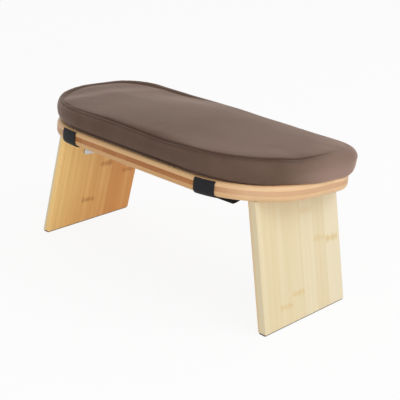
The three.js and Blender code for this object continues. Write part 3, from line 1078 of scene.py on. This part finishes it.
    def shaped(self, mesh: bpy.types.Mesh) -> bmesh.types.BMesh:
        """Subdivides the cover and works its seam and its lie on the board into it. It also paints shade
        into the seam's fold and the hem, and light onto the right end, as two attributes.
        """
        bm = bmesh.new()
        bm.from_mesh(mesh)
        bm.transform(Matrix.Scale(1 / MM, 4))
        bmesh.ops.subdivide_edges(bm, edges=bm.edges, cuts=1, smooth=1.0, use_grid_fill=True)
        for _ in range(self.smooth_rounds):
            bmesh.ops.smooth_vert(
                bm, verts=bm.verts, factor=0.5, use_axis_x=True, use_axis_y=True, use_axis_z=True
            )
        # Attributes that the cover's material reads: painted shade in the seam's fold and at the hem, and
        # painted light on the right end.
        crease = bm.verts.layers.float.new("crease")
        nap = bm.verts.layers.float.new("nap")
        near = {v for v, t in zip(bm.verts, self.off_seam(bm)) if abs(t) < 4 * self.seam_width}
        edges = [e for e in bm.edges if e.verts[0] in near and e.verts[1] in near]
        bmesh.ops.subdivide_edges(bm, edges=edges, cuts=1, use_grid_fill=True)
        bm.normal_update()
        points = np.array([v.co for v in bm.verts])
        grow = self.plan.outside(points[:, :2])
        for vert, out, away in zip(bm.verts, grow, self.off_seam(bm)):
            along = self.round_right(vert.co.x, vert.co.y)
            tight = 1 - self.seam_eased * smoothstep(205.0, 260.0, along)
            # The seam's painted shade reaches further below the seam than above it, and is eased at the
            # right end and fainter at the back.
            width = self.seam_shade_width if away > 0 else self.seam_width
            shade = self.seam_shade * tight * hump(0.0, width, away)
            shade *= 1 - self.seam_shade_lost * smoothstep(20.0, 70.0, vert.co.y)
            vert[crease] = max(shade, self.hem_shade(vert.co))
            vert[nap] = self.raised_nap(vert.co)
            vert.co -= vert.normal * self.seam_depth * tight * hump(0.0, self.seam_width, away)
            vert.co += self.lie(vert.co, out)
        return bm

    def off_seam(self, bm: bmesh.types.BMesh) -> np.ndarray:
        """How far each vertex lies from the seam along the cover, less than 0 on the crown's side.

        It is read square to the line that leaves the cushion upwards and outwards at the seam, so it
        holds where the inflation has moved the cover. Far from the seam it is endless.
        """
        points = np.array([v.co for v in bm.verts])
        full = np.array([self.fullness(x, y) for x, y in points[:, :2]])
        inset = self.soft.seam_inset + (self.full.seam_inset - self.soft.seam_inset) * full
        height = self.soft.seam_height + (self.full.seam_height - self.soft.seam_height) * full
        out = self.plan.outside(points[:, :2]) + inset
        up = points[:, 2] - height
        along = (out - up) / math.sqrt(2)
        lift = (out + up) / math.sqrt(2)
        return np.where(np.abs(lift) < self.seam_reach, along, np.inf)

    @staticmethod
    def round_right(x: float, y: float) -> float:
        """How far round the right end a place lies: 0 at the middle, 200 at the end, more behind it."""
        return x + 0.8 * y

    def fullness(self, x: float, y: float) -> float:
        """How round the band's upper part is: 0 where it stands upright, 1 at the right end."""
        return smoothstep(150.0, 240.0, self.round_right(x, y))

    def hem_shade(self, at: Vector) -> float:
        """How much shade is painted where the band meets the board: most low down, fading out towards the
        right.
        """
        closed = smoothstep(168.0, 122.0, self.round_right(at.x, at.y))
        return self.hem_shade_most * smoothstep(6.2, 4.2, at.z) * closed

    def raised_nap(self, at: Vector) -> float:
        """How much light is painted on the cover: at the right end, most at the band's foot, and a little
        on the crown's right part.
        """
        turned = smoothstep(162.0, 258.0, self.round_right(at.x, at.y))
        band = turned * (self.nap_band + self.nap_foot * smoothstep(26.0, 6.0, at.z))
        crown = self.nap_crown * smoothstep(30.0, 130.0, at.x) * smoothstep(27.0, 31.0, at.z)
        return max(band, crown)

    def lie(self, at: Vector, out: float) -> Vector:
        """How a stuffed cover lies away from its even form.

        Args:
            at: a point of the even form, on the board.
            out: how far it lies outside the plan.

        Returns:
            The point's move.
        """
        most = self.moves
        along = self.round_right(at.x, at.y)
        back = smoothstep(40.0, 90.0, at.y)
        upper = smoothstep(15.0, 26.0, at.z)

        # Along the seat: the left end leans in over the board, and the right end's foot is drawn in.
        left_end = smoothstep(-145.0, -185.0, at.x) * upper
        right_end = smoothstep(195.0, 212.0, at.x) * smoothstep(22.0, 12.0, at.z)

        # Across it: the straps tuck the front band in, and the back's upper part is slack.
        band = smoothstep(0.0, 6.0, at.z) * smoothstep(28.0, 20.0, at.z)
        band *= smoothstep(-60.0, -90.0, at.y)
        straight = smoothstep(-190.0, -120.0, at.x) * smoothstep(150.0, 90.0, at.x)
        slack = back * smoothstep(110.0, 40.0, at.x)
        tucked = most.tuck_front * straight * band - most.slack_back * slack * upper

        # Upwards: the seam rises on the left and at the front right, and the crown is fullest there.
        front_right = smoothstep(-20.0, 40.0, along) * smoothstep(210.0, 165.0, along)
        seam = most.seam_left * smoothstep(60.0, -60.0, at.x)
        seam += most.seam_front_right * front_right * smoothstep(0.0, -40.0, at.y)
        seam *= smoothstep(5.0, 27.0, at.z) * smoothstep(35.0, 28.0, at.z)
        crown = most.crown_middle * hump(30.0, 75.0, at.x)
        crown -= most.crown_right * smoothstep(90.0, 190.0, at.x)

        # Downwards: the shoulder sinks to the left, and the hem hangs over the board at the right.
        sink = most.sink_left * smoothstep(-20.0, -120.0, at.x)
        sink += most.sink_back * back * smoothstep(10.0, -60.0, at.x)
        end_sink = most.sink_left_end + most.sink_left_front * smoothstep(10.0, -40.0, at.y)
        sink += end_sink * smoothstep(-140.0, -190.0, at.x)
        sink += most.sink_left_back * hump(-125.0, 70.0, at.x) * smoothstep(0.0, 60.0, at.y)
        corner = hump(135.0, 60.0, along) * smoothstep(20.0, -20.0, at.y)
        end = smoothstep(175.0, 235.0, along) * smoothstep(100.0, 60.0, at.y)
        hang = most.hang_corner * corner + most.hang_end * end
        hang *= smoothstep(16.0, 0.0, at.z) * smoothstep(-6.0, 3.0, out)
        rise = seam + crown * upper - sink * smoothstep(25.0, 31.0, at.z) - hang
        return Vector((most.lean_left * left_end - most.lean_right * right_end, tucked, rise))

    def parts(self, shape: bmesh.types.BMesh) -> list[bpy.types.Object]:
        """Splits the closed shape into cover and base panel, and shrinks a copy for the foam."""
        foam = shape.copy()
        for vert in foam.verts:
            vert.co -= vert.normal * self.foam_gap
        hem = [f for f in shape.faces if f.normal.z < -0.9 and f.calc_center_median().z < 1.0]
        base = shape.copy()
        keep = {f.index for f in hem}
        base.faces.ensure_lookup_table()
        others = [f for f in base.faces if f.index not in keep]
        bmesh.ops.delete(base, geom=others, context="FACES")
        bmesh.ops.delete(shape, geom=hem, context="FACES")
        made = []
        for name, bm, finish, slot, node in (
            ("cushion_cover_padded", shape, COVER_FABRIC, "cushion_fabric", "cushion_cover"),
            ("cushion_base_panel", base, COVER_FABRIC, "cushion_fabric", "cushion_base"),
            ("cushion_foam_core", foam, FOAM, "foam", "cushion_foam"),
        ):
            bm.transform(self.place() @ Matrix.Scale(MM, 4))
            mesh = bpy.data.meshes.new(name)
            bm.to_mesh(mesh)
            bm.free()
            piece = add_mesh(name, mesh, finish, "seat", [node], math.radians(180))
            made.append(piece)
        return made


# Straps


@dataclass(frozen=True)
class Strap:
    """One tape from under the cushion round the board's edge and along its underside."""

    node: str
    board: SeatBoard
    centre_x: float
    edge: Edge
    under: tuple[tuple[float, float], ...]
    width: float = 28.0
    thickness: float = 1.5
    gap: float = 0.3
    tuck: float = math.radians(45)
    bend_steps: int = 10
    width_steps: int = 8
    run_steps: int = 6

    def wrap(self, x: float) -> list[tuple[float, float]]:
        """The tape's middle line round the board's edge at one place along the seat."""
        board = self.board
        radius = board.edge_round + self.gap + self.thickness / 2
        line = []
        for low, high, centre_z in (
            (self.tuck, math.pi / 2, board.thickness - board.edge_round),
            (math.pi / 2, math.pi, board.edge_round),
        ):
            for i in range(self.bend_steps + 1):
                angle = low + (high - low) * i / self.bend_steps
                grow = radius * math.sin(angle) - board.edge_round
                y = board.plan.edge_y(x, grow, self.edge)
                line.append((y, centre_z + radius * math.cos(angle)))
        return line

    def line(self, x: float) -> list[tuple[float, float]]:
        """The whole middle line: round the edge, then through the points under the seat."""
        line = self.wrap(x)
        for y, z in self.under:
            last_y, last_z = line[-1]
            for i in range(1, self.run_steps + 1):
                share = i / self.run_steps
                line.append((last_y + (y - last_y) * share, last_z + (z - last_z) * share))
        return line

    def build(self) -> bpy.types.Object:
        """Lays a grid along the line and gives it the tape's thickness."""
        rows = len(self.line(self.centre_x))
        bm = bmesh.new()
        made = bmesh.ops.create_grid(bm, x_segments=self.width_steps, y_segments=rows - 1, size=0.5)
        for vert in made["verts"]:
            x = self.centre_x + vert.co.x * self.width
            step = round((vert.co.y + 0.5) * (rows - 1))
            y, z = self.line(x)[step]
            vert.co = (x, y, z)
        place = self.board.layout.seat()
        piece = add_piece(f"{self.node}_tape", bm, place, TAPE, "seat", [self.node])
        thicken(piece, self.thickness)
        return piece


def thicken(piece: bpy.types.Object, thickness: float, arris: float = 0.35) -> None:
    """Gives a flat tape its thickness about its middle, with softened edges."""
    solid = piece.modifiers.new("thickness", "SOLIDIFY")
    solid.thickness = thickness * MM
    solid.offset = 0.0
    break_edges(piece, arris, math.radians(50))


@dataclass(frozen=True)
class LooseTail:
    """The loose end of the right hook tape. It hangs."""

    layout: Layout
    centre_x: float
    root: tuple[float, float]
    width: float = 28.0
    thickness: float = 1.5
    reach: float = 27.5
    drop: float = 10.0
    twist: float = 0.4
    width_steps: int = 8
    steps: int = 14
    keep: float = 0.35

    def build(self) -> bpy.types.Object:
        """Lays a grid along the hanging line, one edge a little lower."""
        bm = bmesh.new()
        made = bmesh.ops.create_grid(bm, x_segments=self.width_steps, y_segments=self.steps, size=0.5)
        for vert in made["verts"]:
            share = vert.co.y + 0.5
            y = self.root[0] - self.reach * share
            z = self.root[1] - (self.drop - self.twist * vert.co.x) * math.sin(share * math.pi / 2)
            vert.co = (self.centre_x + vert.co.x * self.width, y, z)
        seat = self.layout.seat()
        piece = add_piece("right_hook_strap_tail", bm, seat, TAPE, "seat")
        thicken(piece, self.thickness)
        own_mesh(piece)
        return piece


@dataclass(frozen=True)
class Straps:
    """The two loop tapes, the two hook tapes that are pressed on them, and the loose tail.

    A hook tape starts against the board, slopes down past the hinge, and runs on below the loop tape.
    """

    board: SeatBoard
    left_x: float = -119.5
    right_x: float = 134.7
    tape_z: float = -1.05
    low_z: float = -3.15
    loop_end: float = -26.5
    ramp: tuple[float, float] = (65.5, 51.5)
    left_end: float = -57.5
    right_end: float = -30.0

    def build(self) -> list[bpy.types.Object]:
        """Lays the loop tapes, then the hook tapes, then the tail."""
        loop = ((self.loop_end, self.tape_z),)
        over, down = self.ramp
        hooks = [
            ((over, self.tape_z), (down, self.low_z), (end, self.low_z))
            for end in (self.left_end, self.right_end)
        ]
        tapes = [
            Strap("left_loop_strap", self.board, self.left_x, Edge.FRONT, loop),
            Strap("right_loop_strap", self.board, self.right_x, Edge.FRONT, loop),
            Strap("left_hook_strap", self.board, self.left_x, Edge.BACK, hooks[0]),
            Strap("right_hook_strap", self.board, self.right_x, Edge.BACK, hooks[1]),
        ]
        tail = LooseTail(self.board.layout, self.right_x, (self.right_end, self.low_z))
        return [piece.build() for piece in (*tapes, tail)]


# Hinges and screws


@dataclass(frozen=True)
class Screw:
    """A countersunk screw with a cross recess."""

    head_radius: float = 3.5
    head_height: float = 1.6
    shank_radius: float = 1.75
    length: float = 12.0
    point: float = 3.0
    head_rim: float = 0.15
    tip_radius: float = 0.05
    recess_arm: float = 2.1
    recess_width: float = 0.9
    recess_depth: float = 1.2
    recess_floor: float = 0.7
    steps: int = 32

    def build(self, name: str, place: Matrix, body: str) -> bpy.types.Object:
        """Spins the screw, then sinks the cross into its head.

        Args:
            name: the frame's node that it stands for.
            place: its frame, with the head at the origin and the point towards +Z.
            body: the body that it rides on.

        Returns:
            The screw.
        """
        bm = bmesh.new()
        profile = [
            (self.head_radius, 0.0),
            (self.head_radius, self.head_rim),
            (self.shank_radius, self.head_height),
            (self.shank_radius, self.length - self.point),
            (self.tip_radius, self.length),
        ]
        verts = [bm.verts.new((x, 0, z)) for x, z in profile]
        edges = [bm.edges.new(pair) for pair in zip(verts, verts[1:])]
        bmesh.ops.spin(
            bm, geom=verts + edges, cent=(0, 0, 0), axis=(0, 0, 1), angle=2 * math.pi,
            steps=self.steps, use_merge=True,
        )
        bmesh.ops.holes_fill(bm, edges=bm.edges, sides=0)
        bmesh.ops.recalc_face_normals(bm, faces=bm.faces)
        self.sink_cross(bm)
        return add_piece(f"{name}_fine", bm, place, ZINC, body, [name])

    def sink_cross(self, bm: bmesh.types.BMesh) -> None:
        """Cuts the head's face along the cross and pushes the cross in."""
        half, arm = self.recess_width / 2, self.recess_arm
        for normal in ((1, 0, 0), (0, 1, 0)):
            for at in (-arm, -half, half, arm):
                flat = [f for f in bm.faces if f.calc_center_median().z < FLAT]
                geom = flat + [e for f in flat for e in f.edges] + [v for f in flat for v in f.verts]
                bmesh.ops.bisect_plane(
                    bm, geom=list(dict.fromkeys(geom)), plane_co=Vector(normal) * at, plane_no=normal
                )
        cross = []
        for face in bm.faces:
            centre = face.calc_center_median()
            reach = max(abs(centre.x), abs(centre.y))
            narrow = min(abs(centre.x), abs(centre.y))
            if centre.z < FLAT and reach < arm and narrow < half:
                cross.append(face)
        made = bmesh.ops.extrude_face_region(bm, geom=cross)
        floor = [g for g in made["geom"] if isinstance(g, bmesh.types.BMVert)]
        bmesh.ops.delete(bm, geom=cross, context="FACES_ONLY")
        bmesh.ops.translate(bm, vec=(0, 0, self.recess_depth), verts=floor)
        bmesh.ops.scale(bm, vec=(self.recess_floor, self.recess_floor, 1.0), verts=floor)


@dataclass(frozen=True)
class Hinge:
    """One butt hinge: its two leaves, its pin and the six screws that hold it."""

    layout: Layout
    side: Side
    length: float = 70.0
    reach: float = 38.0
    leaf_thickness: float = 1.8
    knuckle_radius: float = 3.6
    screw_margin: float = 8.0
    screw_row_gap: float = 11.0

    def screw_places(self) -> list[tuple[float, float]]:
        """The screws' places on a leaf, along its X and Y."""
        outer = self.reach - self.screw_margin
        end = self.length / 2 - self.screw_margin
        return [(outer, -end), (outer, end), (outer - self.screw_row_gap, 0.0)]

    def build(self) -> list[bpy.types.Object]:
        """Refines the leaves and the pin, and makes the screws."""
        word = self.side.word
        leg = f"{word}_leg"
        made = [
            smooth_copy(f"{word}_hinge_seat_leaf", ZINC, "seat"),
            smooth_copy(f"{word}_hinge_leg_leaf", ZINC, leg),
            smooth_copy(f"{word}_hinge_pin", ZINC, "seat"),
        ]
        for kind, leaf, body in (
            ("seat", self.layout.seat_leaf(self.side), "seat"),
            ("leg", self.layout.leg_leaf(self.side), leg),
        ):
            for number, (x, y) in enumerate(self.screw_places(), 1):
                at = Vector((x, y, self.knuckle_radius - self.leaf_thickness)) * MM
                place = leaf @ Matrix.Translation(at)
                made.append(Screw().build(f"{word}_{kind}_screw_{number}", place, body))
        return made


# Legs


@dataclass(frozen=True)
class Leg:
    """One leg: a bamboo panel cut level with the floor and parallel to the seat, and its foot strip."""

    layout: Layout
    side: Side
    bamboo: PressedBamboo
    width: float = 144.0
    thickness: float = 13.0
    rough_length: float = 420.0
    top_gap: float = 0.3
    sole: float = 1.8
    edge_round: float = 1.5
    edge_segments: int = 8
    foot_round: float = 0.8
    strip_top: float = 1.5
    strip_inset: float = 1.8
    strip_end_inset: float = 0.6
    strip_round: float = 0.3
    foot_segments: int = 3

    def finish(self) -> Finish:
        """Bamboo with strips running down the leg."""
        place = self.layout.leg(self.side) @ axes((0, 1, 0), (self.side.value, 0, 0))
        return replace(self.bamboo, place=place)

    def build(self) -> list[bpy.types.Object]:
        """Cuts the panel and its foot strip from longer boards, and rounds them."""
        bm = self.board(self.thickness, self.width)
        leg = self.layout.leg(self.side)
        to_leg = leg.inverted()
        seat = self.layout.seat()
        self.cut(bm, to_leg @ seat @ Vector((0, 0, -self.top_gap * MM)), seat.col[2].xyz)
        self.cut(bm, to_leg @ Vector((0, 0, self.sole * MM)), Vector((0, 0, -1)))
        self.soften(bm)
        word = self.side.word
        body = f"{word}_leg"
        panel = add_piece(f"{body}_panel", bm, leg, self.finish(), body, [body])
        bm = self.board(self.thickness - 2 * self.strip_inset, self.width - 2 * self.strip_end_inset)
        self.cut(bm, to_leg @ Vector((0, 0, self.strip_top * MM)), Vector((0, 0, 1)))
        self.cut(bm, to_leg @ Vector((0, 0, 0)), Vector((0, 0, -1)))
        round_edges(bm, list(bm.edges), self.strip_round, self.foot_segments)
        node = f"{word}_foot_strip"
        return [panel, add_piece(f"{node}_fine", bm, leg, RUBBER, body, [node])]

    def board(self, thickness: float, width: float) -> bmesh.types.BMesh:
        """A board longer than the leg, round the middle of its thickness."""
        bm = bmesh.new()
        bmesh.ops.create_cube(bm, size=1.0)
        bmesh.ops.scale(bm, vec=(thickness, width, self.rough_length), verts=bm.verts)
        inner = self.layout.pin_depth + self.thickness / 2
        bmesh.ops.translate(bm, vec=(self.side.value * inner, 0, 0), verts=bm.verts)
        return bm

    def cut(self, bm: bmesh.types.BMesh, at: Vector, outward: Vector) -> None:
        """Saws the board along a plane and closes the cut.

        Args:
            bm: the board, in millimetres in the leg's frame.
            at: a point on the plane, in metres in the leg's frame.
            outward: the side that falls off, as a direction in the row frame.
        """
        turn = self.layout.leg(self.side).to_3x3().inverted()
        everything = [*bm.verts, *bm.edges, *bm.faces]
        made = bmesh.ops.bisect_plane(
            bm, geom=everything, plane_co=at / MM, plane_no=turn @ outward, clear_outer=True
        )
        edges = [g for g in made["geom_cut"] if isinstance(g, bmesh.types.BMEdge)]
        bmesh.ops.holes_fill(bm, edges=edges, sides=0)

    def soften(self, bm: bmesh.types.BMesh) -> None:
        """Rounds the long edges a little, and breaks the edges of the foot."""
        runs = {e: (e.verts[0].co - e.verts[1].co).normalized() for e in bm.edges}
        long_edges = [e for e, run in runs.items() if abs(run.z) > 0.9]
        round_edges(bm, long_edges, self.edge_round, self.edge_segments)
        foot = min(bm.faces, key=lambda face: face.calc_center_median().z)
        round_edges(bm, list(foot.edges), self.foot_round, self.foot_segments)


# Studio


@dataclass(frozen=True)
class Studio:
    """A pale floor, a white surround, two soft lamps and the photograph's camera."""

    camera_at: tuple[float, float, float] = (1052.8, -966.0, 653.7)
    camera_yaw: float = 46.815
    camera_pitch: float = 21.559
    lens: float = 104.48
    floor_size: float = 8.0
    floor_tone: str = "#f2f2f2"
    floor_glow: float = 0.9
    ambient: float = 0.58
    lamp_size: float = 1.4
    key_power: float = 17.0
    key_at: tuple[float, float, float] = (1.4, 0.7, 2.0)
    side_power: float = 19.0
    side_at: tuple[float, float, float] = (1.9, -1.4, 0.55)
    aim: tuple[float, float, float] = (0.0, 0.0, 0.1)

    def build(self) -> None:
        """Sets the floor, the world, the lamps and the camera."""
        scene = bpy.context.scene
        scene.view_settings.view_transform = "Standard"
        self.add_floor()
        self.light_world(scene)
        self.add_lamp("key_lamp", self.key_at, self.key_power)
        self.add_lamp("side_lamp", self.side_at, self.side_power)
        self.add_camera(scene)

    def add_floor(self) -> None:
        """A wide white floor that keeps the bench's shadow."""
        bm = bmesh.new()
        bmesh.ops.create_grid(bm, x_segments=1, y_segments=1, size=self.floor_size / 2)
        mesh = bpy.data.meshes.new("studio_floor")
        bm.to_mesh(mesh)
        bm.free()
        floor = bpy.data.objects.new("studio_floor", mesh)
        bpy.context.scene.collection.objects.link(floor)
        paper = bpy.data.materials.new("studio_paper")
        paper.use_nodes = True
        tree = paper.node_tree
        tree.nodes.clear()
        seen = self.seen(tree)
        white = add_node(tree, "Emission", (1, 1, 1, 1), 1.0)
        matt = add_node(tree, "BsdfDiffuse", linear(self.floor_tone))
        share = add_node(tree, "Math", seen, self.floor_glow, operation="MULTIPLY")
        mix = add_node(tree, "MixShader", share.outputs[0], matt.outputs[0], white.outputs[0])
        add_node(tree, "OutputMaterial", mix.outputs[0])
        mesh.materials.append(paper)

    @staticmethod
    def seen(tree: bpy.types.NodeTree) -> bpy.types.NodeSocket:
        """1 for what the camera sees, straight or through gloss and glass."""
        path = add_node(tree, "LightPath").outputs
        gloss = add_node(
            tree, "Math", path["Is Camera Ray"], path["Is Glossy Ray"], operation="MAXIMUM"
        )
        return add_node(
            tree, "Math", gloss.outputs[0], path["Is Transmission Ray"], operation="MAXIMUM"
        ).outputs[0]

    def light_world(self, scene: bpy.types.Scene) -> None:
        """A white surround that lights the bench gently from all sides."""
        world = bpy.data.worlds.new("studio")
        scene.world = world
        world.use_nodes = True
        tree = world.node_tree
        tree.nodes.clear()
        strength = add_node(tree, "MapRange", self.seen(tree), 0.0, 1.0, self.ambient, 1.0)
        light = add_node(tree, "Background", (1, 1, 1, 1), strength.outputs[0])
        add_node(tree, "OutputWorld", light.outputs[0])

    def add_lamp(self, name: str, at: tuple[float, float, float], power: float) -> None:
        """Adds a square soft lamp that faces the bench."""
        data = bpy.data.lights.new(name, "AREA")
        data.energy = power
        data.size = self.lamp_size
        lamp = bpy.data.objects.new(name, data)
        lamp.location = at
        lamp.rotation_mode = "QUATERNION"
        lamp.rotation_quaternion = (Vector(self.aim) - Vector(at)).to_track_quat("-Z", "Y")
        bpy.context.scene.collection.objects.link(lamp)

    def add_camera(self, scene: bpy.types.Scene) -> None:
        """Puts the camera where the photograph was taken from."""
        data = bpy.data.cameras.new("camera")
        data.lens = self.lens
        camera = bpy.data.objects.new("camera", data)
        camera.location = Vector(self.camera_at) * MM
        turn = (math.radians(90 - self.camera_pitch), 0.0, math.radians(self.camera_yaw))
        camera.rotation_euler = turn
        scene.collection.objects.link(camera)
        scene.camera = camera


def main() -> None:
    """Builds the bench piece by piece, then the studio."""
    logging.basicConfig(level=logging.INFO, format="%(name)s: %(message)s")
    layout = Layout()
    board = SeatBoard(SeatPlan(), layout)
    board.build()
    Cushion(layout).build()
    Straps(board).build()
    Leg(layout, Side.LEFT, LEFT_BAMBOO).build()
    Leg(layout, Side.RIGHT, RIGHT_BAMBOO).build()
    for side in Side:
        Hinge(layout, side).build()
    Studio().build()


if __name__ == "__main__":
    main()
